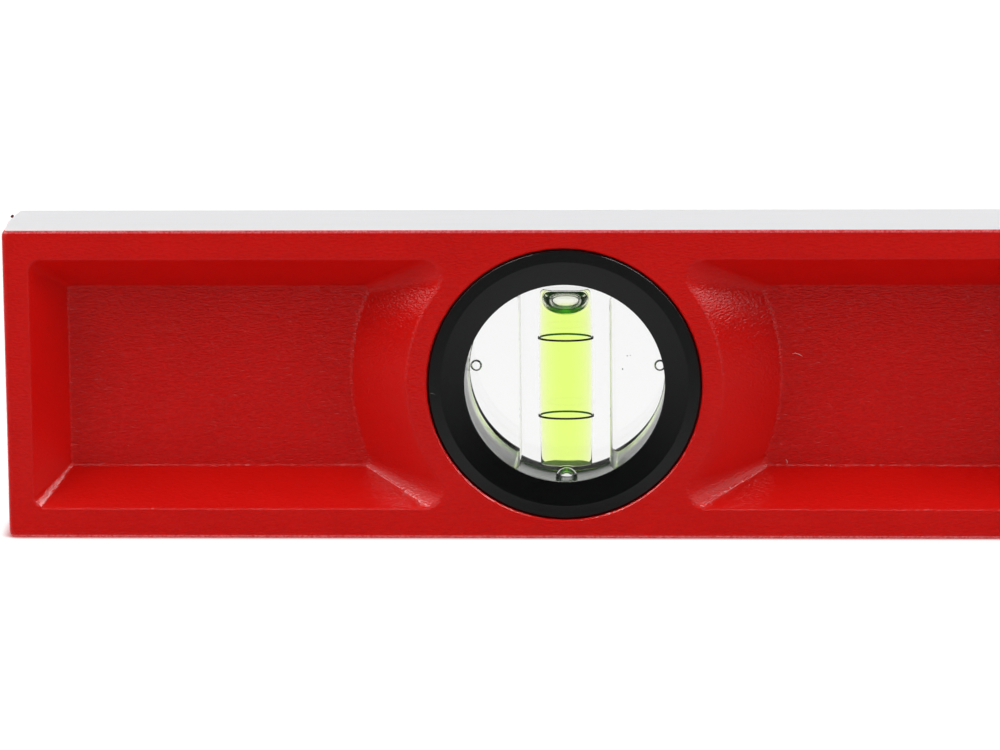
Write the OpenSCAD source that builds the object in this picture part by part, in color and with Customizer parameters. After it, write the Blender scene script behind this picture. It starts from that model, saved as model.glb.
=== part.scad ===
// Magnetic spirit level: a die-cast beam with a plumb vial in a round hub at each end, a level vial
// in the middle of its top edge and four magnets in its bottom face.
// Millimetres. X runs along the beam, Y from the front face to the rear one, Z up. The origin is at
// the middle of the bottom face.

/* [Body] */
// Length of the beam
body_l = 400; // [360:10:600]
// Height from the bottom measuring face to the top one
body_h = 50; // [46:1:60]
// Width from the front face to the rear one
body_w = 20; // [18:1:30]
// Web left between a front pocket and the rear one behind it
web_t = 4; // [3:0.5:6]
// Amount that each end is proud at the parting line, half way across the width
end_draft = 0.5; // [0:0.1:1]
// Radius of the four corners of the front outline
corner_r = 1.4; // [1.1:0.1:3]
// Radius of the edges round both faces of the casting, before it is milled
edge_r = 0.8; // [0.4:0.1:1]
// Skin milled off the top and bottom faces
mill_cut = 0.35; // [0.1:0.05:0.5]

/* [Pockets] */
// Height of the flange above and below each pocket
rim_t = 4.75; // [3.5:0.25:7]
// Land between an end of the beam and the rim of its pocket
end_land = 4.6; // [3:0.2:8]
// Half the length of the solid land round the level vial
centre_land = 34.4; // [32:0.2:42]
// Run of the sloping top and bottom walls
wall_run = 5.5; // [3:0.5:8]
// Run of the sloping end wall
end_run = 5.3; // [3:0.1:8]
// Radius of the curved rim about the hub
hub_rim_r = 25.3; // [24:0.1:28]
// Run of the sloping wall that curves round the hub
hub_run = 9.3; // [5:0.1:12]
// Radius of the square corners of a pocket at the rim
square_rim_r = 1.8; // [1:0.1:3]
// Radius of the square corners at the floor
square_floor_r = 0.6; // [0.4:0.1:2]
// Radius of the pointed corners at the rim
tip_rim_r = 3; // [1.5:0.1:4]
// Radius of the pointed corners at the floor
tip_floor_r = 1.1; // [0.8:0.1:2.5]
// Half width of the rounded edge along the rim
rim_round = 0.25; // [0.15:0.05:0.8]
// Half width of the rounded corner along the floor
floor_round = 0.25; // [0.15:0.05:1.2]

/* [Plumb hubs] */
// Distance from each end of the beam to its hub
hub_inset = 90; // [80:1:96]
// Outer diameter of a bezel's flange
flange_d = 43.6; // [42:0.2:46]
// Thickness of a bezel's flange
flange_t = 2; // [1.5:0.1:3]
// Depth of a flange's face below the casting
flange_sink = 0.1; // [0:0.05:0.4]
// Width of a flange's flat ring, which steps down to the funnel
ring_w = 2; // [1.5:0.1:2.5]
// Height of that step
step_h = 0.15; // [0.05:0.05:0.4]
// Diameter of the aperture
aperture_d = 32; // [28:0.5:33]
// Depth of the funnel
funnel_depth = 0.9; // [0.4:0.1:1.4]
// Thickness of the lip that holds the block
lip_t = 0.6; // [0.4:0.1:1.2]
// Wall of a bezel's barrel
barrel_wall = 2; // [1.2:0.1:2.4]
// Bevel on the outer edge of a flange and of its seat
flange_bevel = 0.25; // [0.1:0.05:0.4]

/* [Plumb blocks] */
// Diameter of a clear block
block_d = 33.5; // [32:0.5:36]
// Thickness of the plate behind the block's open pockets
plate_t = 5; // [3:0.5:8]
// Wall round the open pockets at the plate
block_wall = 0.85; // [0.8:0.05:1.6]
// Taper of that wall, over the depth of the pockets
block_taper = 0.4; // [0:0.1:0.6]
// Width of the bar that holds the vial
bar_w = 14.5; // [12:0.5:18]
// Diameter of the two ejector marks on the plate
ejector_d = 1.8; // [1:0.1:2.4]
// Depth of an ejector mark
ejector_depth = 0.15; // [0.05:0.05:0.3]
// Distance of an ejector mark from the edge of the aperture
ejector_inset = 0.2; // [0.1:0.1:0.6]

/* [Vials] */
// Diameter of a vial's bore at its ends
vial_d = 8.5; // [7:0.1:9.5]
// Amount that the bore is wider half way along, which centres the bubble
vial_crown = 0.1; // [0:0.02:0.3]
// Length of the bore in a plumb block
plumb_vial_l = 28.6; // [24:0.2:29]
// Length of the bore in the level block
level_vial_l = 36; // [28:1:38]
// Distance between the reading rings
line_gap = 12.7; // [10:0.1:15]
// Width of a reading ring along the vial
line_w = 0.3; // [0.2:0.02:0.6]
// Radial thickness of a reading ring
line_t = 0.12; // [0.1:0.02:0.5]
// Diameter of a bubble that stands at the end of a vial
bubble_d = 7.4; // [5:0.1:7.8]
// Height of that bubble
bubble_h = 4; // [2:0.1:5]
// Length of a bubble that lies along a vial
bubble_l = 11; // [8:0.5:12]
// Thickness of a bubble that lies along a vial
bubble_t = 5.2; // [4:0.1:6]
// Diameter of the half ball that plugs a filling hole
plug_d = 3.6; // [2.8:0.1:4.2]
// Bore that joins the vial to the plug's seat
vent_d = 1; // [0.6:0.1:1.4]

/* [Level window] */
// Length of the opening through the beam
window_l = 52.4; // [50:0.2:58]
// Depth of the opening below the top face
window_depth = 20.2; // [20:0.2:22]
// Radius of the lower corners of the opening
window_r = 3; // [2:0.5:5]
// Overlap of the bezel's flange round the opening
frame_lap = 2.6; // [2:0.2:3.4]
// Length of the view cut in each bezel
view_l = 43; // [38:0.5:45]
// Height of the view cut in each bezel
view_h = 12.6; // [10:0.2:13]
// Radius of the view's corners
view_r = 1.5; // [0.5:0.1:3]
// Border of the bezel above the view
view_border = 2.4; // [2:0.2:3]
// Depth of the bezels' top edges below the top face
top_sink = 0.5; // [0.3:0.1:1]
// Depth of the level block's top below those edges
block_sink = 0.4; // [0:0.1:1]
// Radius of the level block's corners, and of the tray's about them
level_block_r = 0.8; // [0.4:0.1:1.5]

/* [Magnets] */
// Diameter of a magnet
magnet_d = 10; // [8:0.5:12]
// Thickness of a magnet
magnet_t = 4; // [3:0.5:5]
// Distance from each end of the beam to its outer magnet
outer_magnet_inset = 37; // [20:1:50]
// Distance from each end of the beam to its inner magnet
inner_magnet_inset = 138; // [130:1:146]
// Depth of a magnet's face below the bottom of the beam
magnet_sink = 0.1; // [0.05:0.05:0.5]
// Bevel round the edges of a magnet
magnet_bevel = 0.3; // [0.1:0.1:0.6]

/* [Fits] */
// Clearance of a bezel in its seat, on the radius
bezel_clear = 0.2; // [0.1:0.05:0.4]
// Clearance of a block in its bezels, on each side
block_clear = 0.1; // [0.05:0.05:0.3]
// Clearance of small pieces in their seats, on each side
fine_clear = 0.05; // [0.02:0.01:0.1]

/* [Hidden] */

red_coat = [0.71, 0.09, 0.08];
black_moulding = [0.12, 0.12, 0.13];
clear_acrylic = [0.92, 0.94, 0.94, 0.35];
lime_liquid = [0.80, 0.95, 0.25, 0.8];
line_black = [0.02, 0.02, 0.02];
bright_nickel = [0.75, 0.75, 0.76];

// Overlap by which a cut runs past the face that it opens
over = 0.5;
round_fn = 96;
corner_steps = 6;
edge_steps = 4;
arc_steps = 16;
ease_steps = 3;
crown_steps = 12;

half_w = body_w / 2;
half_l = body_l / 2;
hub_x = half_l - hub_inset;
hub_z = body_h / 2;
pocket_depth = half_w - web_t / 2;
rim_ease = rim_round / wall_run;
floor_ease = floor_round / wall_run;

flange_y = half_w - flange_sink;
seat_y = flange_y - flange_t;
lip_y = flange_y - funnel_depth - lip_t;
seat_r = block_d / 2 + block_clear;
barrel_r = seat_r + barrel_wall;
block_half_t = lip_y - block_clear;

line_r = vial_d / 2 + vial_crown;

frame_half_l = window_l / 2 + frame_lap - bezel_clear;
frame_bottom = body_h - window_depth - frame_lap + bezel_clear;
frame_top = body_h - top_sink;
tray_half_l = window_l / 2 - bezel_clear;
tray_bottom = body_h - window_depth + bezel_clear;
level_block_half_l = tray_half_l - barrel_wall - block_clear;
level_block_bottom = tray_bottom + barrel_wall + block_clear;
level_block_top = frame_top - block_sink;
level_block_half_t = seat_y - block_clear;
view_z = frame_top - view_border - view_h / 2;

// Points of an arc, both ends included
function arc(centre, r, from, to, steps) =
    [for (i = [0:steps]) let (a = from + (to - from) * i / steps) centre + r * [cos(a), sin(a)]];

// Rectangle from corner lo to corner hi with rounded corners
function rounded_box(lo, hi, r, steps) = concat(
    arc([hi.x - r, lo.y + r], r, -90, 0, steps),
    arc([hi.x - r, hi.y - r], r, 0, 90, steps),
    arc([lo.x + r, hi.y - r], r, 90, 180, steps),
    arc([lo.x + r, lo.y + r], r, 180, 270, steps)
);

// Outline of a tray: a box from bottom to top, rounded at its two lower corners alone
function tray_box(half, bottom, top, r) = concat(
    arc([half - r, bottom + r], r, -90, 0, corner_steps),
    [[half, top], [-half, top]],
    arc([r - half, bottom + r], r, 180, 270, corner_steps)
);

// Value at share f of the way from a to b
function between(a, b, f) = a + (b - a) * f;

// Share of the pocket's depth at share f of the wall's run, with a parabola easing rim and floor
function wall_depth(f) =
    f < rim_ease ? (f + rim_ease) ^ 2 / (4 * rim_ease) :
    f > 1 - floor_ease ? 1 - (1 + floor_ease - f) ^ 2 / (4 * floor_ease) :
    f;

// Outline of a pocket at share f of the wall's run, about the hub's centre, its square end at +X.
// Each pointed corner is an arc that touches both the straight wall and the circle about the hub.
function pocket_outline(reach, f) =
    let (
        end_x = reach - f * end_run,
        top_z = body_h / 2 - rim_t - f * wall_run,
        hub_r = hub_rim_r + f * hub_run,
        tip_r = between(tip_rim_r, tip_floor_r, f),
        square_r = between(square_rim_r, square_floor_r, f),
        tip_z = top_z - tip_r,
        tip_x = sqrt((hub_r + tip_r) ^ 2 - tip_z ^ 2),
        tip_angle = atan2(tip_z, tip_x),
        square_x = end_x - square_r,
        square_z = top_z - square_r,
        hub_arc = arc([0, 0], hub_r, tip_angle, -tip_angle, arc_steps)
    )
    concat(
        arc([square_x, -square_z], square_r, -90, 0, corner_steps),
        arc([square_x, square_z], square_r, 0, 90, corner_steps),
        arc([tip_x, tip_z], tip_r, 90, 180 + tip_angle, corner_steps),
        [for (i = [1:arc_steps - 1]) hub_arc[i]],
        arc([tip_x, -tip_z], tip_r, 180 - tip_angle, 270, corner_steps)
    );

// Radius of a vial's bore at distance z from its middle
function bore_r(z, length) = vial_d / 2 + vial_crown * (1 - (2 * z / length) ^ 2);

module at_left_hub() translate([-hub_x, 0, hub_z]) children();
module at_right_hub() translate([hub_x, 0, hub_z]) children();
module at_level_vial() translate([0, 0, view_z]) rotate([0, 90, 0]) children();
module at_magnet(x) translate([x, 0, 0]) children();

// Turns a shape that stands on Z so that its axis runs from front to rear
module facing() rotate([-90, 0, 0]) children();

// Extrudes a front outline from one depth to another
module front_slab(y0, y1) translate([0, y1, 0]) rotate([90, 0, 0]) linear_extrude(y1 - y0) children();

// Solid through a row of rings that follow one another to the rear. Each ring has as many points as
// the others, and runs anticlockwise as seen from the front.
module loft(rings) {
    n = len(rings[0]);
    last = len(rings) - 1;
    polyhedron(
        points = [for (ring = rings, p = ring) p],
        faces = concat(
            [[for (i = [n - 1:-1:0]) i]],
            [for (k = [0:last - 1], i = [0:n - 1]) let (j = (i + 1) % n)
                [k * n + i, k * n + j, (k + 1) * n + j, (k + 1) * n + i]],
            [[for (i = [0:n - 1]) last * n + i]]
        )
    );
}

// A front outline as a ring at depth y
function ring_at(outline, y) = [for (p = outline) [p.x, y, p.y]];

// The pocket between a hub and the square end that lies reach away from the hub's centre, on the
// front face: a loft through the outlines of the rim, the wall and the floor
module pocket(reach) {
    shares = concat(
        [for (i = [0:ease_steps]) rim_ease * (2 * i / ease_steps - 1)],
        [for (i = [0:ease_steps]) 1 + floor_ease * (2 * i / ease_steps - 1)]
    );
    loft(concat(
        [ring_at(pocket_outline(reach, shares[0]), -half_w - over)],
        [for (f = shares) ring_at(pocket_outline(reach, f), wall_depth(f) * pocket_depth - half_w)]
    ));
}

// Outline of the casting at depth y, drawn in by inset. Its ends fall back from the parting line.
function cast_ring(y, inset) =
    let (
        end_x = half_l - end_draft * abs(y) / half_w - inset,
        low = [-end_x, inset - mill_cut],
        high = [end_x, body_h + mill_cut - inset]
    )
    ring_at(rounded_box(low, high, corner_r - inset, corner_steps), y);

// The casting before any pocket or bore: a loft with its edges rounded towards both faces, milled off
// flat at the top and bottom
module milled_blank() {
    edge = [for (i = [edge_steps:-1:0]) let (a = 90 * i / edge_steps)
        [half_w - edge_r + edge_r * sin(a), edge_r - edge_r * cos(a)]];
    intersection() {
        loft(concat(
            [for (e = edge) cast_ring(-e[0], e[1])],
            [cast_ring(0, 0)],
            [for (i = [edge_steps:-1:0]) cast_ring(edge[i][0], edge[i][1])]
        ));
        translate([-half_l - over, -half_w - over, 0])
            cube([body_l + 2 * over, body_w + 2 * over, body_h]);
    }
}

// Both bores of a hub: a seat for the flange on each face, bevelled at its mouth, and the barrel's
module hub_bore() {
    seat_d = flange_d + 2 * bezel_clear;
    mouth_h = flange_bevel + over;
    facing() cylinder(r = barrel_r + bezel_clear, h = body_w + 2 * over, center = true, $fn = round_fn);
    for (turn = [0, 180]) rotate([0, 0, turn]) facing() {
        translate([0, 0, seat_y]) cylinder(d = seat_d, h = half_w, $fn = round_fn);
        translate([0, 0, half_w - flange_bevel])
            cylinder(d1 = seat_d, d2 = seat_d + 2 * mouth_h, h = mouth_h, $fn = round_fn);
    }
}

// The opening for the level vial, open at the top, and its flange's seat on each face
module level_window() {
    front_slab(-half_w - over, half_w + over)
        polygon(tray_box(window_l / 2, body_h - window_depth, body_h + over, window_r));
    for (turn = [0, 180]) rotate([0, 0, turn])
        front_slab(-half_w - over, -seat_y)
            polygon(tray_box(window_l / 2 + frame_lap, body_h - window_depth - frame_lap, body_h + over,
                             window_r + frame_lap));
}

module magnet_bore() {
    translate([0, 0, -over])
        cylinder(d = magnet_d + 2 * fine_clear, h = magnet_t + magnet_sink + fine_clear + over,
                 $fn = round_fn);
}

module cast_body() {
    outer_reach = hub_inset - end_land;
    inner_reach = hub_x - centre_land;
    color(red_coat) difference() {
        milled_blank();
        for (side = [0, 1], face = [0, 1]) mirror([side, 0, 0]) mirror([0, face, 0])
            translate([-hub_x, 0, hub_z]) {
                mirror([1, 0, 0]) pocket(outer_reach);
                pocket(inner_reach);
            }
        at_left_hub() hub_bore();
        at_right_hub() hub_bore();
        level_window();
        for (x = [outer_magnet_inset, inner_magnet_inset]) {
            at_magnet(x - half_l) magnet_bore();
            at_magnet(half_l - x) magnet_bore();
        }
    }
}

// A ring for one end of a hub's bore: flange, stepped funnel, lip and barrel, turned in one piece
module hub_bezel() {
    flange_r = flange_d / 2;
    step_r = flange_r - ring_w;
    color(black_moulding) facing() rotate_extrude($fn = round_fn) polygon([
        [seat_r, fine_clear],
        [barrel_r, fine_clear],
        [barrel_r, seat_y],
        [flange_r, seat_y],
        [flange_r, flange_y - flange_bevel],
        [flange_r - flange_bevel, flange_y],
        [step_r, flange_y],
        [step_r, flange_y - step_h],
        [aperture_d / 2, flange_y - funnel_depth],
        [aperture_d / 2, lip_y],
        [seat_r, lip_y],
    ]);
}

module front_bezel() rotate([0, 0, 180]) hub_bezel();
module rear_bezel() hub_bezel();

// Bore of a vial with its grooves for the rings, its vent and its plug's seat, standing on Z.
// The plug's outer end lies on the surface at distance skin from the middle.
module vial_cut(length, skin) {
    bore(length);
    for (z = [-line_gap / 2, line_gap / 2]) translate([0, 0, z])
        cylinder(r = line_r + line_t + fine_clear, h = line_w + 2 * fine_clear, center = true,
                 $fn = round_fn);
    translate([0, 0, -skin]) {
        cylinder(d = vent_d, h = skin - length / 2 + over, $fn = round_fn);
        sphere(d = plug_d + 2 * fine_clear, $fn = round_fn);
    }
}

// Barrel-shaped space of a vial
module bore(length) {
    wall = [for (i = [0:crown_steps]) let (z = length * (i / crown_steps - 0.5)) [bore_r(z, length), z]];
    rotate_extrude($fn = round_fn) polygon(concat([[0, -length / 2]], wall, [[0, length / 2]]));
}

module line_ring() {
    color(line_black) difference() {
        cylinder(r = line_r + line_t, h = line_w, center = true, $fn = round_fn);
        cylinder(r = line_r, h = line_w + over, center = true, $fn = round_fn);
    }
}

// Half ball in the filling hole, its flat end at distance skin from the vial's middle
module vial_plug(skin) {
    color(clear_acrylic) translate([0, 0, -skin]) intersection() {
        sphere(d = plug_d, $fn = round_fn);
        cylinder(d = plug_d + 2 * over, h = plug_d, $fn = round_fn);
    }
}

// Clear block of a plumb vial: a disc with a plate at its rear, two tapered pockets that open to the
// front and a full bar between them, which holds the vial
module plumb_block() {
    pocket_l = 2 * block_half_t - plate_t;
    deep_r = block_d / 2 - block_wall;
    ejector_x = (aperture_d - ejector_d) / 2 - ejector_inset;
    color(clear_acrylic) difference() {
        facing() cylinder(d = block_d, h = 2 * block_half_t, center = true, $fn = round_fn);
        for (side = [0, 180]) rotate([0, side, 0]) intersection() {
            translate([0, block_half_t - plate_t, 0]) rotate([90, 0, 0])
                cylinder(r1 = deep_r, r2 = deep_r + block_taper * (1 + over / pocket_l),
                         h = pocket_l + over, $fn = round_fn);
            translate([bar_w / 2, -block_half_t - over, -block_d / 2])
                cube([block_d, 2 * block_half_t, block_d]);
        }
        for (side = [-1, 1]) translate([side * ejector_x, block_half_t - ejector_depth, 0])
            facing() cylinder(d = ejector_d, h = ejector_depth + over, $fn = round_fn);
        vial_cut(plumb_vial_l, block_d / 2);
    }
}

// Liquid of a plumb vial, with the bubble at the upper end of the bore
module plumb_liquid() {
    bubble_r = bubble_d / 2;
    curl = bubble_h / 2;
    color(lime_liquid) difference() {
        bore(plumb_vial_l - 2 * fine_clear);
        translate([0, 0, plumb_vial_l / 2 - bubble_h]) rotate_extrude($fn = round_fn)
            polygon(concat(
                [[0, 0]],
                arc([bubble_r - curl, curl], curl, -90, 0, corner_steps),
                [[bubble_r, bubble_h], [0, bubble_h]]
            ));
    }
}

// Bezel of the level vial: a flange with a view cut in it and a tray that holds half of the block
module level_bezel() {
    color(black_moulding) {
        front_slab(-flange_y, -seat_y) difference() {
            polygon(tray_box(frame_half_l, frame_bottom, frame_top, window_r + frame_lap - bezel_clear));
            translate([0, view_z])
                polygon(rounded_box([-view_l / 2, -view_h / 2], [view_l / 2, view_h / 2], view_r,
                                    corner_steps));
        }
        front_slab(-seat_y, -fine_clear) difference() {
            polygon(tray_box(tray_half_l, tray_bottom, frame_top, window_r - bezel_clear));
            polygon(tray_box(tray_half_l - barrel_wall, tray_bottom + barrel_wall, frame_top + over,
                             level_block_r));
        }
    }
}

module level_block() {
    color(clear_acrylic) difference() {
        front_slab(-level_block_half_t, level_block_half_t)
            polygon(rounded_box([-level_block_half_l, level_block_bottom],
                                [level_block_half_l, level_block_top], level_block_r, edge_steps));
        at_level_vial() vial_cut(level_vial_l, level_block_half_l);
    }
}

// Liquid of the level vial, with the bubble lying along the middle of the bore's upper side
module level_liquid() {
    bubble_r = bubble_t / 2;
    color(lime_liquid) at_level_vial() difference() {
        bore(level_vial_l - 2 * fine_clear);
        translate([-line_r, 0, 0]) rotate_extrude($fn = round_fn) polygon(concat(
            arc([0, bubble_r - bubble_l / 2], bubble_r, -90, 0, corner_steps),
            arc([0, bubble_l / 2 - bubble_r], bubble_r, 0, 90, corner_steps)
        ));
    }
}

// Round magnet, its face just below the bottom of the beam
module magnet() {
    r = magnet_d / 2;
    color(bright_nickel) translate([0, 0, magnet_sink]) rotate_extrude($fn = round_fn) polygon([
        [0, 0],
        [r - magnet_bevel, 0],
        [r, magnet_bevel],
        [r, magnet_t - magnet_bevel],
        [r - magnet_bevel, magnet_t],
        [0, magnet_t],
    ]);
}

module upper_ring() translate([0, 0, line_gap / 2]) line_ring();
module lower_ring() translate([0, 0, -line_gap / 2]) line_ring();

cast_body();
at_left_hub() front_bezel();  // left_front_bezel
at_left_hub() rear_bezel();  // left_rear_bezel
at_left_hub() plumb_block();  // left_vial_block
at_left_hub() plumb_liquid();  // left_vial_liquid
at_left_hub() vial_plug(block_d / 2);  // left_vial_plug
at_left_hub() upper_ring();  // left_upper_line_ring
at_left_hub() lower_ring();  // left_lower_line_ring
at_right_hub() front_bezel();  // right_front_bezel
at_right_hub() rear_bezel();  // right_rear_bezel
at_right_hub() plumb_block();  // right_vial_block
at_right_hub() plumb_liquid();  // right_vial_liquid
at_right_hub() vial_plug(block_d / 2);  // right_vial_plug
at_right_hub() upper_ring();  // right_upper_line_ring
at_right_hub() lower_ring();  // right_lower_line_ring
level_bezel();  // centre_front_bezel
mirror([0, 1, 0]) level_bezel();  // centre_rear_bezel
level_block();  // centre_vial_block
level_liquid();  // centre_vial_liquid
at_level_vial() vial_plug(level_block_half_l);  // centre_vial_plug
at_level_vial() lower_ring();  // centre_left_line_ring
at_level_vial() upper_ring();  // centre_right_line_ring
at_magnet(outer_magnet_inset - half_l) magnet();  // left_outer_magnet
at_magnet(inner_magnet_inset - half_l) magnet();  // left_inner_magnet
at_magnet(half_l - inner_magnet_inset) magnet();  // right_inner_magnet
at_magnet(half_l - outer_magnet_inset) magnet();  // right_outer_magnet
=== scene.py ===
"""Looks of the magnetic spirit level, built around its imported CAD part.

Lengths are metres in the part's own frame: +X along the beam, +Y to its rear face, +Z up, with the
origin at the middle of the bottom measuring face.
"""

import math

import bmesh
import bpy
from mathutils import Matrix, Vector


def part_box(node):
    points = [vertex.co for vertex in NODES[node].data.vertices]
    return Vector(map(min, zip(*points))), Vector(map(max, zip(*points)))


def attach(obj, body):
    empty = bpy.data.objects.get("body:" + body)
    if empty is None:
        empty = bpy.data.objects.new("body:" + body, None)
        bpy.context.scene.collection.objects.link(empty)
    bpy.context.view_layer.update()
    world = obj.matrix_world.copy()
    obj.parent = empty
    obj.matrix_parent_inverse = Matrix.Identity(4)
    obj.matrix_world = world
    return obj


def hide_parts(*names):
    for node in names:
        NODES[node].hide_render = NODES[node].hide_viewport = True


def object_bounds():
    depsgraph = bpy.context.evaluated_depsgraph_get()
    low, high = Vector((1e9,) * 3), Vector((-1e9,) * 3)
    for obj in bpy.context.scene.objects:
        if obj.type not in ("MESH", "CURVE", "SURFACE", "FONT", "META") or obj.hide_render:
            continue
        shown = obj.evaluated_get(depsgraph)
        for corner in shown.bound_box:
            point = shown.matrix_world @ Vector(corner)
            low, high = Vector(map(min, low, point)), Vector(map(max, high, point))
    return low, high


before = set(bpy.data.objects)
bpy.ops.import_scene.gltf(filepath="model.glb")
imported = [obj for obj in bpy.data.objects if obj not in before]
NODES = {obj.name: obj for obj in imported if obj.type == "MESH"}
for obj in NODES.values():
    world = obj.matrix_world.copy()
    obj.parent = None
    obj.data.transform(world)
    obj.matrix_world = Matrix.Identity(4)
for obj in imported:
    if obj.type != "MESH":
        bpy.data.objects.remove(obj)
CAD_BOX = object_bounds()
SCENE = bpy.context.scene
MM = 0.001

# Camera: a long lens in front of the left part of the beam, turned left about its own up axis
CAMERA_PLACE = Vector((-77.1, -858.0, 192.5)) * MM
CAMERA_DOWN = math.radians(11.067)
CAMERA_LEFT = math.radians(2.857)
CAMERA_LENS = 195.67
CAMERA_SENSOR = 36.0

# Clear blocks of the plumb vials, as the part's source has them
PLATE_T = 5.0 * MM
BLOCK_WALL = 0.85 * MM
BLOCK_TAPER = 0.4 * MM
BAR_W = 14.5 * MM
EJECTOR_D = 1.8 * MM
EJECTOR_X = 14.9 * MM
EJECTOR_DEPTH = 0.15 * MM
# Finer forms of them: rounds on the edges, corners of the pockets, groove round an ejector mark
BLOCK_ROUND = 0.12 * MM
POCKET_CORNER_R = 0.8 * MM
EJECTOR_GROOVE = 0.24 * MM

# Plumb vials: how much wider the bore is half way along, the round at its upper end, and the bubble's
# contact with that end, its radius and its height
BORE_CROWN = 0.25 * MM
BORE_ROUND = 0.7 * MM
BUBBLE_CONTACT_R = 2.6 * MM
BUBBLE_R = 3.9 * MM
BUBBLE_H = 4.2 * MM

# Grain of the coat: scale of its noise, stretch along the axes, wander of its lines, height
PEEL_SCALE = 3000.0
PEEL_STRETCH = (0.5, 1.0, 1.3)
PEEL_WANDER = 0.5 * MM
PEEL_HEIGHT = 0.115 * MM
# Share of that height on the walls, and what the pockets' floors and the outer faces have more
WALL_SHARE = 0.38
FLOOR_SHARE = 0.70
FACE_SHARE = 0.30
# Depths from the middle plane within which the coat is a floor's, and beyond which it is a face's
FLOOR_DEPTH = 2.3 * MM
FACE_DEPTH = 9.8 * MM
# Depth below the top and bottom planes within which the metal is bare
MILLED_SKIN = 0.005 * MM
# Width of the painted highlight along the milled edges
EDGE_HIGHLIGHT_WIDTH = 0.45 * MM

# Lint on the coat and the flange: material, points in millimetres, radius
FIBRES = (
    ("lint", ((-73.75, -2.05, 28.54), (-73.24, -2.05, 28.65), (-72.63, -2.05, 28.46), (-72.12, -2.05, 28.13)),
     0.05),
    ("lint", ((-74.76, -2.05, 11.31), (-74.52, -2.05, 10.91), (-74.56, -2.05, 10.54)), 0.05),
    ("grey_lint", ((-131.44, -9.92, 23.61), (-131.18, -9.92, 23.64), (-130.82, -9.92, 23.56),
                   (-130.61, -9.92, 23.38)), 0.05),
)
# Dust and a coated nib of flash on the parting line: material, place, sizes, turn
SPECKS = (
    ("dust", (-100.31, 3.25, 27.20), (0.10, 0.06, 0.08), 0.3),
    ("dust", (-99.81, 3.25, 27.28), (0.07, 0.05, 0.07), 0.0),
    ("dust", (-101.07, 3.25, 25.03), (0.12, 0.06, 0.10), 0.9),
    ("lint", (-67.61, -2.1, 10.27), (0.10, 0.08, 0.09), 0.2),
    ("flash", (-199.85, 5.7, 49.75), (0.30, 0.22, 0.22), -0.7),
)

# Indices of refraction. Each inner body has its index relative to the acrylic about it.
ACRYLIC_IOR = 1.49
LIQUID_IOR = 1.45 / ACRYLIC_IOR
AIR_IOR = 1.0 / ACRYLIC_IOR
# Gap between the bubble's surface and the liquid's own
SKIN = 0.01 * MM

# Steepest step between two facets that is still shaded smooth
PIECE_SMOOTH_ANGLE = math.radians(12)
CASTING_SMOOTH_ANGLE = math.radians(32)

# Soft light that reflections don't see: name, place, size, watts. All of it points at one place, in
# the middle of what the camera sees.
LIGHT_TARGET = (-0.12, 0.0, 0.02)
LIGHTS = (
    ("left_wing", (-1.25, -0.45, 0.85), (0.9, 0.9), 10.9),
    ("right_wing", (1.1, -0.45, 0.75), (0.9, 0.9), 8.2),
    ("top_wing", (-0.12, -0.30, 1.3), (1.3, 0.7), 8.3),
)
# Soft boxes that reflections alone see: name, ends of the lower edge, ends of the upper edge,
# brightness at the lower and at the upper edge
SOFT_BOXES = (
    ("left_box", ((-1.0, -0.35, 0.3), (-1.0, 0.25, 0.3)), ((-0.51, -0.35, 1.2), (-0.51, 0.25, 1.2)),
     2.0, 18.0),
    ("right_box", ((0.8, -0.35, 0.3), (0.8, 0.25, 0.3)), ((0.33, -0.35, 1.2), (0.33, 0.25, 1.2)),
     2.0, 20.0),
    ("front_left_box", ((-1.15, -0.52, 0.06), (-0.60, -0.98, 0.06)),
     ((-1.15, -0.52, 1.0), (-0.60, -0.98, 1.0)), 1.4, 2.0),
    ("front_right_box", ((0.95, -0.52, 0.06), (0.40, -0.98, 0.06)),
     ((0.95, -0.52, 1.0), (0.40, -0.98, 1.0)), 1.4, 2.0),
    ("front_box", ((-0.7, -1.0, 0.6), (0.5, -1.0, 0.6)), ((-0.7, -1.0, 1.3), (0.5, -1.0, 1.3)), 3.0, 3.0),
)

# Light from all around
WORLD_FILL = 0.36
# How bright reflections see the table in front of the part: depth, brightness
TABLE_GLOW = ((-0.011, 0.14), (-0.030, 0.20), (-0.065, 0.50), (-0.100, 0.34), (-0.140, 0.22),
              (-0.250, 0.16), (-1.5, 0.03))
# How bright they see the lit table behind it, and where that begins
BACK_GLOW = 2.2
BACK_Y = 0.02
# Reach of the table from the middle, and its lift off the floor
CARD_REACH = 3.0
CARD_LIFT = 0.2 * MM
# Height of the darkness about the part, and how far out it stands at the sides
DARK_TOP = 2.0
DARK_SIDE_X = 1.6
# Reach of the floor from the middle, and the grey of it that light rays meet and that shadows fall on
FLOOR_REACH = 6.0
FLOOR_GREY = (0.80, 0.80, 0.80, 1)
SHADOW_GREY = (0.22, 0.22, 0.22, 1)
FLOOR_GLOW = 0.86
# Width of the line of shadow and red bounce where the part stands on the table
CONTACT_WIDTH = 2.4 * MM
CONTACT_RED = (0.50, 0.10, 0.10, 1)


# Materials

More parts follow.
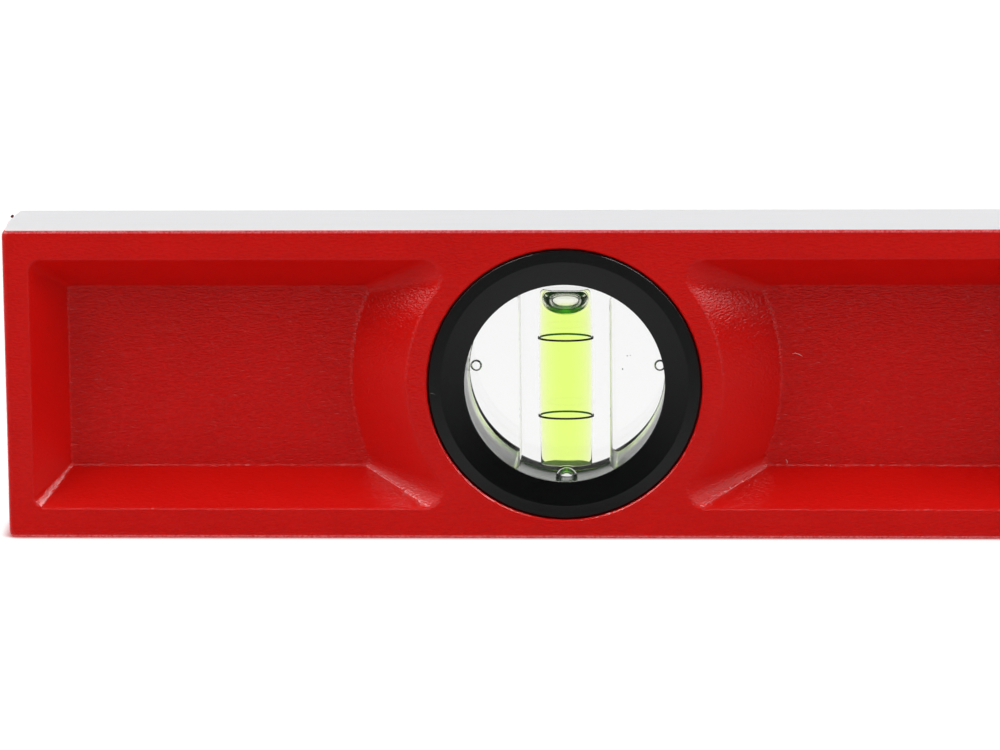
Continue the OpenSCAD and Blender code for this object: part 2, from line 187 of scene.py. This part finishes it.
class Nodes:
    """Short forms for building one node tree."""

    def __init__(self, tree):
        self.tree = tree
        tree.nodes.clear()

    def add(self, kind, settings=None, **inputs):
        node = self.tree.nodes.new("ShaderNode" + kind)
        for key, value in (settings or {}).items():
            setattr(node, key, value)
        for key, value in inputs.items():
            self.put(node, key.replace("_", " "), value)
        return node

    def put(self, node, key, value):
        """Links or sets an input, which indexN names by its number."""
        socket = node.inputs[int(key[5:])] if key.startswith("index") else node.inputs[key]
        if isinstance(value, bpy.types.NodeSocket):
            self.tree.links.new(value, socket)
        else:
            socket.default_value = value

    def math(self, operation, a, b=0.0):
        return self.add("Math", {"operation": operation}, index0=a, index1=b).outputs[0]

    def noise(self, vector, scale, detail=2.0, roughness=0.5):
        node = self.add("TexNoise", Vector=vector, Scale=scale, Detail=detail, Roughness=roughness)
        return node.outputs["Fac"]

    def ramp(self, value, low, high, to_low=0.0, to_high=1.0):
        """Value taken from one range to another, and held within it."""
        node = self.add("MapRange", Value=value)
        for key, number in zip(("From Min", "From Max", "To Min", "To Max"), (low, high, to_low, to_high)):
            node.inputs[key].default_value = number
        return node.outputs[0]

    def blend(self, share, a, b):
        """Colour a where the share is 0, and b where it is 1."""
        node = self.add("Mix", {"data_type": "RGBA"})
        for socket, value in ((node.inputs[0], share), (node.inputs[6], a), (node.inputs[7], b)):
            if isinstance(value, bpy.types.NodeSocket):
                self.tree.links.new(value, socket)
            else:
                socket.default_value = value
        return node.outputs[2]


def new_material(name):
    material = bpy.data.materials.new(name)
    material.use_nodes = True
    nodes = Nodes(material.node_tree)
    return material, nodes


def finish_material(nodes, surface, volume=None):
    output = nodes.add("OutputMaterial")
    nodes.put(output, "Surface", surface)
    if volume is not None:
        nodes.put(output, "Volume", volume)


def stretched(nodes, scale):
    """Object coordinates scaled apart along the three axes."""
    place = nodes.add("TexCoord").outputs["Object"]
    return nodes.add("VectorMath", {"operation": "MULTIPLY"}, index0=place, index1=scale).outputs[0]


def cast_body_material():
    """Red powder coat with a fine orange peel, painted shade in its dips and a painted highlight along its
    milled edges, and bare milled metal where top and bottom are cut.
    """
    material, nodes = new_material("red_powder_coat")
    place = nodes.add("TexCoord").outputs["Object"]
    height = nodes.add("SeparateXYZ", Vector=place).outputs["Z"]
    half_height = (CAD_BOX[0].z + CAD_BOX[1].z) / 2
    from_middle = nodes.math("ABSOLUTE", nodes.math("SUBTRACT", height, half_height))
    milled = nodes.math("GREATER_THAN", from_middle, half_height - MILLED_SKIN)

    wander = nodes.noise(place, 700.0, 1.0, 0.5)
    warped = nodes.add("VectorMath", {"operation": "MULTIPLY_ADD"}, index0=wander,
                       index1=(PEEL_WANDER, PEEL_WANDER, PEEL_WANDER),
                       index2=stretched(nodes, PEEL_STRETCH)).outputs[0]
    peel = nodes.noise(warped, PEEL_SCALE, 0.0, 0.5)
    # the coat is roughest on the pockets' floors, and flows out smoothest on their walls
    depth = nodes.math("ABSOLUTE", nodes.add("SeparateXYZ", Vector=place).outputs["Y"])
    floor = nodes.math("LESS_THAN", depth, FLOOR_DEPTH)
    face = nodes.math("GREATER_THAN", depth, FACE_DEPTH)
    share = nodes.math("ADD", nodes.math("MULTIPLY", floor, FLOOR_SHARE),
                       nodes.math("MULTIPLY", face, FACE_SHARE))
    relief = nodes.math("MULTIPLY", peel, nodes.math("ADD", share, WALL_SHARE))
    coat_bump = nodes.add("Bump", Strength=1.0, Distance=PEEL_HEIGHT, Height=relief)

    tracks = nodes.noise(stretched(nodes, (60.0, 9000.0, 1.0)), 1.0, 3.0, 0.6)
    metal_bump = nodes.add("Bump", Strength=0.5, Distance=0.003 * MM, Height=tracks)

    cloud = nodes.noise(place, 90.0, 2.0, 0.5)
    coat = nodes.blend(nodes.ramp(cloud, 0.3, 0.7), (0.490, 0.0038, 0.0024, 1), (0.520, 0.0044, 0.0028, 1))
    # painted shade: the dips of the grain are darkened, most on the pockets' floors and least on their walls
    painted_dip_shade = nodes.math("MULTIPLY", nodes.ramp(peel, 0.62, 0.38, 0.0, 0.16), nodes.math("ADD", share, 0.4))
    coat = nodes.blend(painted_dip_shade, coat, (0.20, 0.0022, 0.0018, 1))
    # painted highlight: a pale pink line, broken by noise, along the two milled edges of the coat
    painted_edge_highlight = nodes.math("GREATER_THAN", from_middle, half_height - EDGE_HIGHLIGHT_WIDTH)
    highlight_breaks = nodes.ramp(nodes.noise(place, 2200.0, 2.0, 0.7), 0.38, 0.62, 0.25, 0.85)
    coat = nodes.blend(nodes.math("MULTIPLY", painted_edge_highlight, highlight_breaks), coat, (0.66, 0.14, 0.15, 1))
    metal = nodes.blend(nodes.ramp(tracks, 0.3, 0.7), (0.74, 0.74, 0.755, 1), (0.80, 0.80, 0.815, 1))

    normal = nodes.blend(milled, coat_bump.outputs[0], metal_bump.outputs[0])
    shader = nodes.add("BsdfPrincipled")
    nodes.put(shader, "Base Color", nodes.blend(milled, coat, metal))
    nodes.put(shader, "Metallic", milled)
    nodes.put(shader, "Roughness", nodes.ramp(milled, 0.0, 1.0, 0.16, 0.34))
    nodes.put(shader, "Normal", normal)
    shader.inputs["Specular IOR Level"].default_value = 0.25
    finish_material(nodes, shader.outputs[0])
    return material


def moulding_material():
    """Black moulded plastic with a fine spark-eroded grain."""
    material, nodes = new_material("black_moulding")
    place = nodes.add("TexCoord").outputs["Object"]
    grain = nodes.noise(place, 4200.0, 2.0, 0.6)
    cloud = nodes.noise(place, 240.0, 2.0, 0.5)
    bump = nodes.add("Bump", Strength=0.5, Distance=0.006 * MM, Height=grain)
    shader = nodes.add("BsdfPrincipled", Normal=bump.outputs[0])
    black = nodes.blend(cloud, (0.0016, 0.0019, 0.0020, 1), (0.0025, 0.0028, 0.0029, 1))
    nodes.put(shader, "Base Color", black)
    nodes.put(shader, "Roughness", nodes.ramp(grain, 0.3, 0.7, 0.17, 0.23))
    shader.inputs["Specular IOR Level"].default_value = 0.58
    finish_material(nodes, shader.outputs[0])
    return material


def clear_material(name, ior, ripple, tint=(1.0, 1.0, 1.0, 1.0), roughness=0.0):
    """Clear body; ripple is the depth of the faint waves that moulding leaves in its surface."""
    material, nodes = new_material(name)
    place = nodes.add("TexCoord").outputs["Object"]
    waves = nodes.noise(place, 260.0, 1.0, 0.4)
    bump = nodes.add("Bump", Strength=0.4, Distance=ripple, Height=waves)
    shader = nodes.add("BsdfPrincipled", Roughness=roughness, IOR=ior, Normal=bump.outputs[0])
    nodes.put(shader, "Base Color", tint)
    shader.inputs["Transmission Weight"].default_value = 1.0
    finish_material(nodes, shader.outputs[0])
    return material


def rim_material():
    """Outer round of a clear block: faintly matt and tinted green, with painted dark green streaks over it.
    """
    material, nodes = new_material("rim_acrylic")
    streaks = nodes.noise(stretched(nodes, (260.0, 2600.0, 260.0)), 1.0, 3.0, 0.6)
    bump = nodes.add("Bump", Strength=0.5, Distance=0.01 * MM, Height=streaks)
    clear = nodes.add("BsdfPrincipled", Roughness=0.2, IOR=ACRYLIC_IOR, Normal=bump.outputs[0])
    # painted green cast on the clear rim, standing for the lime liquid's light in it
    nodes.put(clear, "Base Color", (0.80, 0.87, 0.80, 1.0))
    clear.inputs["Transmission Weight"].default_value = 1.0
    # painted shade: dark green streaks stand for the black barrel and the liquid seen through the rim
    painted_dark_streaks = nodes.add("BsdfPrincipled", Roughness=0.35, Normal=bump.outputs[0])
    nodes.put(painted_dark_streaks, "Base Color", (0.020, 0.055, 0.020, 1.0))
    mix = nodes.add("MixShader", index0=nodes.ramp(streaks, 0.38, 0.60, 0.95, 0.55), index1=clear.outputs[0],
                    index2=painted_dark_streaks.outputs[0])
    finish_material(nodes, mix.outputs[0])
    return material


def liquid_material():
    """Lime liquid, which colours what is seen through it and has a painted green glow in its volume."""
    material, nodes = new_material("lime_liquid")
    place = nodes.add("TexCoord").outputs["Object"]
    waves = nodes.noise(place, 120.0, 1.0, 0.4)
    bump = nodes.add("Bump", Strength=0.2, Distance=0.002 * MM, Height=waves)
    shader = nodes.add("BsdfPrincipled", Roughness=0.0, IOR=LIQUID_IOR, Normal=bump.outputs[0])
    nodes.put(shader, "Base Color", (1.0, 1.0, 1.0, 1.0))
    shader.inputs["Transmission Weight"].default_value = 1.0
    tint = nodes.add("VolumeAbsorption", Color=(0.90, 0.991, 0.10, 1.0), Density=190.0)
    # painted light: a green glow in the liquid's volume, though it is no lamp
    glow = nodes.add("Emission", Color=(0.14, 1.0, 0.12, 1.0), Strength=12.0)
    volume = nodes.add("AddShader", index0=tint.outputs[0], index1=glow.outputs[0])
    finish_material(nodes, shader.outputs[0], volume.outputs[0])
    return material


def line_material():
    """Black reading lines."""
    material, nodes = new_material("line_black")
    place = nodes.add("TexCoord").outputs["Object"]
    grain = nodes.noise(place, 6000.0, 1.0, 0.5)
    bump = nodes.add("Bump", Strength=0.3, Distance=0.004 * MM, Height=grain)
    shader = nodes.add("BsdfPrincipled", Normal=bump.outputs[0])
    nodes.put(shader, "Base Color", nodes.blend(grain, (0.002, 0.002, 0.002, 1), (0.005, 0.005, 0.005, 1)))
    nodes.put(shader, "Roughness", nodes.ramp(grain, 0.3, 0.7, 0.45, 0.6))
    shader.inputs["Specular IOR Level"].default_value = 0.1
    finish_material(nodes, shader.outputs[0])
    return material


def dust_material(name, dark, pale):
    """Matt speck or fibre, mottled between two colours."""
    material, nodes = new_material(name)
    place = nodes.add("TexCoord").outputs["Object"]
    mottle = nodes.noise(place, 9000.0, 2.0, 0.6)
    bump = nodes.add("Bump", Strength=0.5, Distance=0.02 * MM, Height=mottle)
    shader = nodes.add("BsdfPrincipled", Roughness=0.6, Normal=bump.outputs[0])
    nodes.put(shader, "Base Color", nodes.blend(mottle, dark, pale))
    finish_material(nodes, shader.outputs[0])
    return material


def magnet_material():
    """Bright nickel plate with fine turning marks and light scuffs."""
    material, nodes = new_material("nickel_magnet")
    place = nodes.add("TexCoord").outputs["Object"]
    scuffs = nodes.noise(stretched(nodes, (900.0, 5000.0, 900.0)), 1.0, 3.0, 0.6)
    bump = nodes.add("Bump", Strength=0.4, Distance=0.003 * MM, Height=scuffs)
    shader = nodes.add("BsdfPrincipled", Metallic=1.0, Normal=bump.outputs[0])
    cloud = nodes.noise(place, 400.0, 2.0, 0.5)
    nodes.put(shader, "Base Color", nodes.blend(cloud, (0.62, 0.61, 0.58, 1), (0.74, 0.73, 0.70, 1)))
    nodes.put(shader, "Roughness", nodes.ramp(scuffs, 0.3, 0.7, 0.18, 0.32))
    finish_material(nodes, shader.outputs[0])
    return material


# Mesh helpers

def new_piece(name, bm, materials):
    """Object of a finished bmesh, shaded smooth over its low steps, riding on the one body."""
    bmesh.ops.recalc_face_normals(bm, faces=bm.faces)
    mesh = bpy.data.meshes.new(name)
    bm.to_mesh(mesh)
    bm.free()
    mesh.shade_smooth()
    mesh.set_sharp_from_angle(angle=PIECE_SMOOTH_ANGLE)
    for material in materials:
        mesh.materials.append(material)
    piece = bpy.data.objects.new(name, mesh)
    SCENE.collection.objects.link(piece)
    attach(piece, "root")
    return piece


def circle_points(radius, steps, start=0.0, turn=2 * math.pi, closed=True):
    """Points at even steps along a circle, or along an arc of it where it isn't closed."""
    count = steps if closed else steps + 1
    return [(radius * math.cos(start + turn * i / steps), radius * math.sin(start + turn * i / steps))
            for i in range(count)]


def turned(profile, steps):
    """Closed body of revolution about Z from (radius, z) points that start and end on the axis."""
    bm = bmesh.new()
    rings = []
    for radius, z in profile:
        if radius < 1e-9:
            rings.append([bm.verts.new((0, 0, z))])
        else:
            rings.append([bm.verts.new((x, y, z)) for x, y in circle_points(radius, steps)])
    for low, high in zip(rings, rings[1:]):
        for i in range(steps):
            j = (i + 1) % steps
            corners = [low[i % len(low)], low[j % len(low)], high[j % len(high)], high[i % len(high)]]
            kept = [v for k, v in enumerate(corners) if v not in corners[:k]]
            if len(kept) > 2:
                bm.faces.new(kept)
    return bm


def moved(bm, matrix):
    """The same bmesh, put through a matrix."""
    bmesh.ops.transform(bm, matrix=matrix, verts=bm.verts)
    return bm


def bridge(bm, low, high):
    """Quads between two closed rows of as many vertices."""
    turned_on = low[1:] + low[:1]
    return [bm.faces.new(quad) for quad in zip(low, turned_on, high[1:] + high[:1], high)]


# Clear blocks

def d_pocket_points(radius, side):
    """Outline of a pocket between the bar and the wall of inner radius, its two corners rounded."""
    x = BAR_W / 2 + POCKET_CORNER_R
    z = math.sqrt((radius - POCKET_CORNER_R) ** 2 - x ** 2)
    turn = math.atan2(z, x)
    corner = circle_points(POCKET_CORNER_R, 8, turn, math.pi - turn, closed=False)
    points = circle_points(radius, 96, -turn, 2 * turn, closed=False)[1:-1]
    points += [(x + px, z + pz) for px, pz in corner]
    points += [(x + px, -z - pz) for px, pz in reversed(corner)]
    return [(px * side, pz) for px, pz in points]


def loop_edges(bm, loop):
    """Edges of a closed row of vertices, made where they don't exist yet."""
    return [bm.edges.get((a, b)) or bm.edges.new((a, b)) for a, b in zip(loop, loop[1:] + loop[:1])]


def plumb_block_mesh(radius, half_t):
    """Disc with a plate at its rear and two tapered D pockets that open to the front, one on each side
    of a full bar. It is drawn about the origin with its axis along Y. Its pocket walls take the second
    material, and the round under the bar the third."""
    bm = bmesh.new()
    floor_y = half_t - PLATE_T
    floor_r = radius - BLOCK_WALL

    def row(points, y):
        return [bm.verts.new((x, y, z)) for x, z in points]

    front = row(circle_points(radius, 192), -half_t)
    rear = row(circle_points(radius, 192), half_t)
    for face in bridge(bm, front, rear):
        middle = face.calc_center_median()
        under_bar = abs(middle.x) < BAR_W / 2 + POCKET_CORNER_R and middle.z < 0
        face.material_index = 2 if under_bar else 0
    front_edges = loop_edges(bm, front)
    rear_edges = loop_edges(bm, rear)
    for side in (1, -1):
        mouth = row(d_pocket_points(floor_r + BLOCK_TAPER, side), -half_t)
        bottom = row(d_pocket_points(floor_r, side), floor_y)
        for face in bridge(bm, mouth, bottom):
            face.material_index = 1
        bm.faces.new(bottom)
        front_edges += loop_edges(bm, mouth)
        # an ejector mark is sunk a little, with a groove round its foot
        mark = []
        for inset, depth in ((0.0, 0.0), (EJECTOR_GROOVE / 2, 2 * EJECTOR_GROOVE),
                             (EJECTOR_GROOVE, EJECTOR_DEPTH)):
            points = circle_points(EJECTOR_D / 2 - inset, 48)
            mark.append(row([(x + side * EJECTOR_X, z) for x, z in points], half_t - depth))
        bridge(bm, mark[0], mark[1])
        bridge(bm, mark[1], mark[2])
        bm.faces.new(mark[2])
        rear_edges += loop_edges(bm, mark[0])
    bmesh.ops.triangle_fill(bm, edges=front_edges, use_beauty=True)
    bmesh.ops.triangle_fill(bm, edges=rear_edges, use_beauty=True)
    return bm


def bevel_sharp(bm, width, angle=math.radians(35), segments=2):
    """Small rounds on every edge sharper than an angle."""
    bmesh.ops.recalc_face_normals(bm, faces=bm.faces)
    sharp = [e for e in bm.edges if e.is_manifold and e.calc_face_angle(0.0) > angle]
    bmesh.ops.bevel(bm, geom=sharp, offset=width, segments=segments, profile=0.5, affect="EDGES",
                    clamp_overlap=True)
    return bm


# Liquid and bubble

def plumb_bubble_profile(top, contact_r, radius, height):
    """Bubble under the flat end of a bore, from its contact out to its widest part and round below."""
    shoulder = 0.4 * height
    belly = height - shoulder
    steps = 20
    angles = [math.pi / 2 * i / steps for i in range(steps + 1)]
    upper = [(contact_r + (radius - contact_r) * math.sin(a), top - shoulder * (1 - math.cos(a)))
             for a in angles]
    lower = [(radius * math.cos(a) ** 0.85, top - shoulder - belly * math.sin(a)) for a in angles[1:-1]]
    return [(0.0, top), *upper, *lower, (0.0, top - height)]


def plumb_liquid_mesh(half_l, bore_r, bubble):
    """Liquid that fills a barrel-shaped bore but for the bubble at its upper end."""
    wall = [(bore_r + BORE_CROWN * (1 - (z / half_l) ** 2), z)
            for z in (half_l * (i / 12 - 1) for i in range(24))]
    wall += [(bore_r - BORE_ROUND + BORE_ROUND * math.cos(a), half_l - BORE_ROUND + BORE_ROUND * math.sin(a))
             for a in (math.pi / 2 * i / 8 for i in range(9))]
    cavity = [(r + SKIN if r > 0 else 0.0, z - SKIN) for r, z in bubble[1:]]
    cavity[0] = (cavity[0][0], half_l)
    return turned([(0.0, -half_l), *wall, *cavity], 128)


def add_plumb_vial(side, materials):
    """Block, liquid, plug and bubble of one plumb vial, in place of their plain nodes."""
    low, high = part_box(f"{side}_vial_block")
    centre = (low + high) / 2
    radius = (high.z - low.z) / 2
    half_t = (high.y - low.y) / 2
    place = Matrix.Translation(centre)
    block = moved(bevel_sharp(plumb_block_mesh(radius, half_t), BLOCK_ROUND), place)
    skins = (materials["acrylic"], materials["satin"], materials["rim"])
    piece = new_piece(f"{side}_clear_block", block, skins)
    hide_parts(f"{side}_vial_block")

    low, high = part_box(f"{side}_vial_liquid")
    half_l = (high.z - low.z) / 2
    bore_r = (high.x - low.x) / 2 - BORE_CROWN
    bubble = plumb_bubble_profile(half_l, BUBBLE_CONTACT_R, BUBBLE_R, BUBBLE_H)
    liquid = moved(plumb_liquid_mesh(half_l, bore_r, bubble), place)
    piece = new_piece(f"{side}_liquid", liquid, (materials["liquid"],))
    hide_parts(f"{side}_vial_liquid")

    low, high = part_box(f"{side}_vial_plug")
    plug_r = (high.x - low.x) / 2
    dome = [(plug_r * math.cos(a), plug_r * math.sin(a)) for a in (math.pi / 2 * i / 24 for i in range(24))]
    place_below = place @ Matrix.Translation((0, 0, -radius))
    plug = moved(turned([(0.0, 0.0), *dome, (0.0, plug_r)], 96), place_below)
    piece = new_piece(f"{side}_plug", plug, (materials["air"],))
    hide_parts(f"{side}_vial_plug")

    new_piece(f"{side}_bubble", moved(turned(bubble, 128), place), (materials["air"],))


# Dust and lint

def tube_mesh(points, radius):
    """Closed round fibre along a row of points, drawn out to a tip at both ends."""
    bm = bmesh.new()
    points = [Vector(point) * MM for point in points]
    rows = []
    for index, point in enumerate(points):
        along = (points[min(index + 1, len(points) - 1)] - points[max(index - 1, 0)]).normalized()
        across = along.cross(Vector((0, 1, 0))).normalized()
        lift = across.cross(along)
        thick = radius * MM * (0.4 if index in (0, len(points) - 1) else 1.0)
        rows.append([bm.verts.new(point + across * x + lift * z) for x, z in circle_points(thick, 8)])
    for low, high in zip(rows, rows[1:]):
        bridge(bm, low, high)
    bm.faces.new(rows[0])
    bm.faces.new(rows[-1])
    return bm


def lump_mesh(place, sizes, turn):
    """Rounded lump, with sizes along its own axes, turned about Y."""
    bm = bmesh.new()
    bmesh.ops.create_icosphere(bm, subdivisions=3, radius=1.0)
    shape = Matrix.Translation(Vector(place) * MM) @ Matrix.Rotation(turn, 4, "Y")
    return moved(bm, shape @ Matrix.Diagonal((*[size * MM for size in sizes], 1.0)))


def add_dust(materials):
    """Each fibre of lint and each speck as a piece of its own."""
    for index, (key, points, radius) in enumerate(FIBRES):
        new_piece(f"fibre_{index}", tube_mesh(points, radius), (materials[key],))
    for index, (key, place, sizes, turn) in enumerate(SPECKS):
        new_piece(f"speck_{index}", lump_mesh(place, sizes, turn), (materials[key],))


# Casting

def smooth_casting(body):
    """Joins the casting's facets and shades its blends smooth, with its flat faces kept flat."""
    weld = body.modifiers.new("weld", "WELD")
    weld.merge_threshold = 0.001 * MM
    tree = bpy.data.node_groups.new("smooth_by_angle", "GeometryNodeTree")
    tree.interface.new_socket("Geometry", in_out="INPUT", socket_type="NodeSocketGeometry")
    tree.interface.new_socket("Geometry", in_out="OUTPUT", socket_type="NodeSocketGeometry")
    start = tree.nodes.new("NodeGroupInput")
    end = tree.nodes.new("NodeGroupOutput")
    faces = tree.nodes.new("GeometryNodeSetShadeSmooth")
    edges = tree.nodes.new("GeometryNodeSetShadeSmooth")
    edges.domain = "EDGE"
    angle = tree.nodes.new("GeometryNodeInputMeshEdgeAngle")
    compare = tree.nodes.new("FunctionNodeCompare")
    compare.operation = "LESS_THAN"
    compare.inputs[1].default_value = CASTING_SMOOTH_ANGLE
    tree.links.new(angle.outputs["Unsigned Angle"], compare.inputs[0])
    tree.links.new(start.outputs[0], faces.inputs["Geometry"])
    tree.links.new(faces.outputs[0], edges.inputs["Geometry"])
    tree.links.new(compare.outputs[0], edges.inputs["Shade Smooth"])
    tree.links.new(edges.outputs[0], end.inputs[0])
    smooth = body.modifiers.new("smooth_by_angle", "NODES")
    smooth.node_group = tree
    weighted = body.modifiers.new("weighted_normals", "WEIGHTED_NORMAL")
    weighted.mode = "FACE_AREA"
    weighted.weight = 100
    weighted.keep_sharp = True


# Stage, light and camera

def seen_directly(nodes):
    """1 for camera, glossy and transmission rays, 0 for the rays that carry light."""
    path = nodes.add("LightPath")
    seen = nodes.math("MAXIMUM", path.outputs["Is Camera Ray"], path.outputs["Is Glossy Ray"])
    return nodes.math("MAXIMUM", seen, path.outputs["Is Transmission Ray"])


def add_stage():
    """White floor and world, which light rays see darker than the camera and reflections do."""
    material, nodes = new_material("floor_white")
    plain = nodes.add("BsdfDiffuse", Color=FLOOR_GREY)
    shadowed = nodes.add("BsdfDiffuse", Color=SHADOW_GREY)
    openness = nodes.add("AmbientOcclusion", Distance=CONTACT_WIDTH).outputs["AO"]
    bounce = nodes.blend(nodes.ramp(openness, 0.5, 0.9), CONTACT_RED, (1, 1, 1, 1))
    glow = nodes.add("Emission", Color=bounce, Strength=FLOOR_GLOW)
    seen = nodes.add("AddShader", index0=shadowed.outputs[0], index1=glow.outputs[0])
    mix = nodes.add("MixShader", index0=seen_directly(nodes), index1=plain.outputs[0], index2=seen.outputs[0])
    finish_material(nodes, mix.outputs[0])
    corners = ((-1, -1), (1, -1), (1, 1), (-1, 1))
    bm = bmesh.new()
    bm.faces.new([bm.verts.new((x * FLOOR_REACH, y * FLOOR_REACH, 0.0)) for x, y in corners])
    mesh = bpy.data.meshes.new("floor")
    bm.to_mesh(mesh)
    bm.free()
    mesh.materials.append(material)
    floor = bpy.data.objects.new("floor", mesh)
    SCENE.collection.objects.link(floor)

    world = bpy.data.worlds.new("studio")
    SCENE.world = world
    world.use_nodes = True
    nodes = Nodes(world.node_tree)
    fill = nodes.add("Background", Color=(1, 1, 1, 1), Strength=WORLD_FILL)
    white = nodes.add("Background", Color=(1, 1, 1, 1), Strength=1.0)
    mix = nodes.add("MixShader", index0=seen_directly(nodes), index1=fill.outputs[0], index2=white.outputs[0])
    nodes.put(nodes.add("OutputWorld"), "Surface", mix.outputs[0])
    world.cycles.sampling_method = "NONE"


def add_card(name, corners, near, far, through=False):
    """Card that only reflections see, or views through the clear parts too. It is as bright as near at
    its first edge and as far at its second."""
    material, nodes = new_material(name)
    share = nodes.add("SeparateXYZ", Vector=nodes.add("TexCoord").outputs["UV"]).outputs["Y"]
    glow = nodes.add("Emission", Color=(1, 1, 1, 1))
    nodes.put(glow, "Strength", nodes.ramp(share, 0.0, 1.0, near, far))
    finish_material(nodes, glow.outputs[0])
    bm = bmesh.new()
    face = bm.faces.new([bm.verts.new(corner) for corner in corners])
    layer = bm.loops.layers.uv.new("UVMap")
    for loop, uv in zip(face.loops, ((0, 0), (1, 0), (1, 1), (0, 1))):
        loop[layer].uv = uv
    mesh = bpy.data.meshes.new(name)
    bm.to_mesh(mesh)
    bm.free()
    mesh.materials.append(material)
    card = bpy.data.objects.new(name, mesh)
    for kind in ("camera", "diffuse", "volume_scatter", "shadow"):
        setattr(card, "visible_" + kind, False)
    card.visible_transmission = through
    SCENE.collection.objects.link(card)


def add_cards():
    """Darkness about the part for reflections, soft boxes in it, and a table that fades into it."""
    reach, top, lift = CARD_REACH, DARK_TOP, CARD_LIFT
    for index, ((near, bright), (far, dim)) in enumerate(zip(TABLE_GLOW, TABLE_GLOW[1:])):
        corners = ((-reach, near, lift), (reach, near, lift), (reach, far, lift), (-reach, far, lift))
        add_card(f"table_card_{index}", corners, bright, dim)
    for name, lower, upper, low, high in SOFT_BOXES:
        add_card(name, (*lower, upper[1], upper[0]), low, high)
    corners = ((-reach, BACK_Y, lift), (reach, BACK_Y, lift), (reach, reach, lift), (-reach, reach, lift))
    add_card("back_table_card", corners, BACK_GLOW, BACK_GLOW)
    front = TABLE_GLOW[-1][0]
    corners = ((-reach, front, 0), (reach, front, 0), (reach, front, top), (-reach, front, top))
    add_card("dark_card", corners, 0.0, 0.0)
    corners = ((-reach, front, top), (reach, front, top), (reach, reach, top), (-reach, reach, top))
    add_card("dark_ceiling_card", corners, 0.0, 0.0, through=True)
    for side in (-1, 1):
        x = side * DARK_SIDE_X
        corners = ((x, front, 0), (x, reach, 0), (x, reach, top), (x, front, top))
        add_card(f"dark_side_card_{side + 1}", corners, 0.0, 0.0)


def add_lights():
    """Area lights, all turned to one place."""
    for name, place, size, watts in LIGHTS:
        light = bpy.data.lights.new(name, "AREA")
        light.shape = "RECTANGLE"
        light.size, light.size_y = size
        light.energy = watts
        lamp = bpy.data.objects.new(name, light)
        lamp.location = place
        lamp.visible_glossy = False
        lamp.rotation_euler = (Vector(LIGHT_TARGET) - Vector(place)).to_track_quat("-Z", "Y").to_euler()
        SCENE.collection.objects.link(lamp)


def add_camera():
    data = bpy.data.cameras.new("camera")
    data.sensor_width = CAMERA_SENSOR
    data.lens = CAMERA_LENS
    data.clip_start = 0.05
    data.clip_end = 50.0
    camera = bpy.data.objects.new("camera", data)
    level = Matrix.Rotation(math.pi / 2 - CAMERA_DOWN, 4, "X")
    camera.matrix_world = Matrix.Translation(CAMERA_PLACE) @ level @ Matrix.Rotation(CAMERA_LEFT, 4, "Y")
    SCENE.collection.objects.link(camera)
    SCENE.camera = camera
    SCENE.view_settings.view_transform = "Standard"


def main():
    materials = {
        "coat": cast_body_material(),
        "moulding": moulding_material(),
        "acrylic": clear_material("clear_acrylic", ACRYLIC_IOR, 0.002 * MM, (0.865, 0.87, 0.865, 1.0)),
        "satin": clear_material("satin_acrylic", ACRYLIC_IOR, 0.002 * MM, (0.865, 0.87, 0.865, 1.0), 0.28),
        "rim": rim_material(),
        "air": clear_material("bubble_air", AIR_IOR, 0.0005 * MM),
        "liquid": liquid_material(),
        "line": line_material(),
        "magnet": magnet_material(),
        "lint": dust_material("pale_lint", (0.45, 0.22, 0.20, 1), (0.60, 0.34, 0.31, 1)),
        "grey_lint": dust_material("grey_lint", (0.03, 0.03, 0.03, 1), (0.05, 0.05, 0.05, 1)),
        "dust": dust_material("dark_dust", (0.01, 0.01, 0.01, 1), (0.04, 0.04, 0.04, 1)),
        "flash": dust_material("coated_flash", (0.035, 0.004, 0.006, 1), (0.08, 0.008, 0.01, 1)),
    }
    by_ending = (("body", "coat"), ("bezel", "moulding"), ("block", "acrylic"), ("liquid", "liquid"),
                 ("plug", "acrylic"), ("ring", "line"), ("magnet", "magnet"))
    for name, node in NODES.items():
        for ending, key in by_ending:
            if name.endswith(ending):
                node.data.materials.clear()
                node.data.materials.append(materials[key])
    smooth_casting(NODES["cast_body"])
    for side in ("left", "right"):
        add_plumb_vial(side, materials)
    add_dust(materials)
    add_stage()
    add_cards()
    add_lights()
    add_camera()


main()
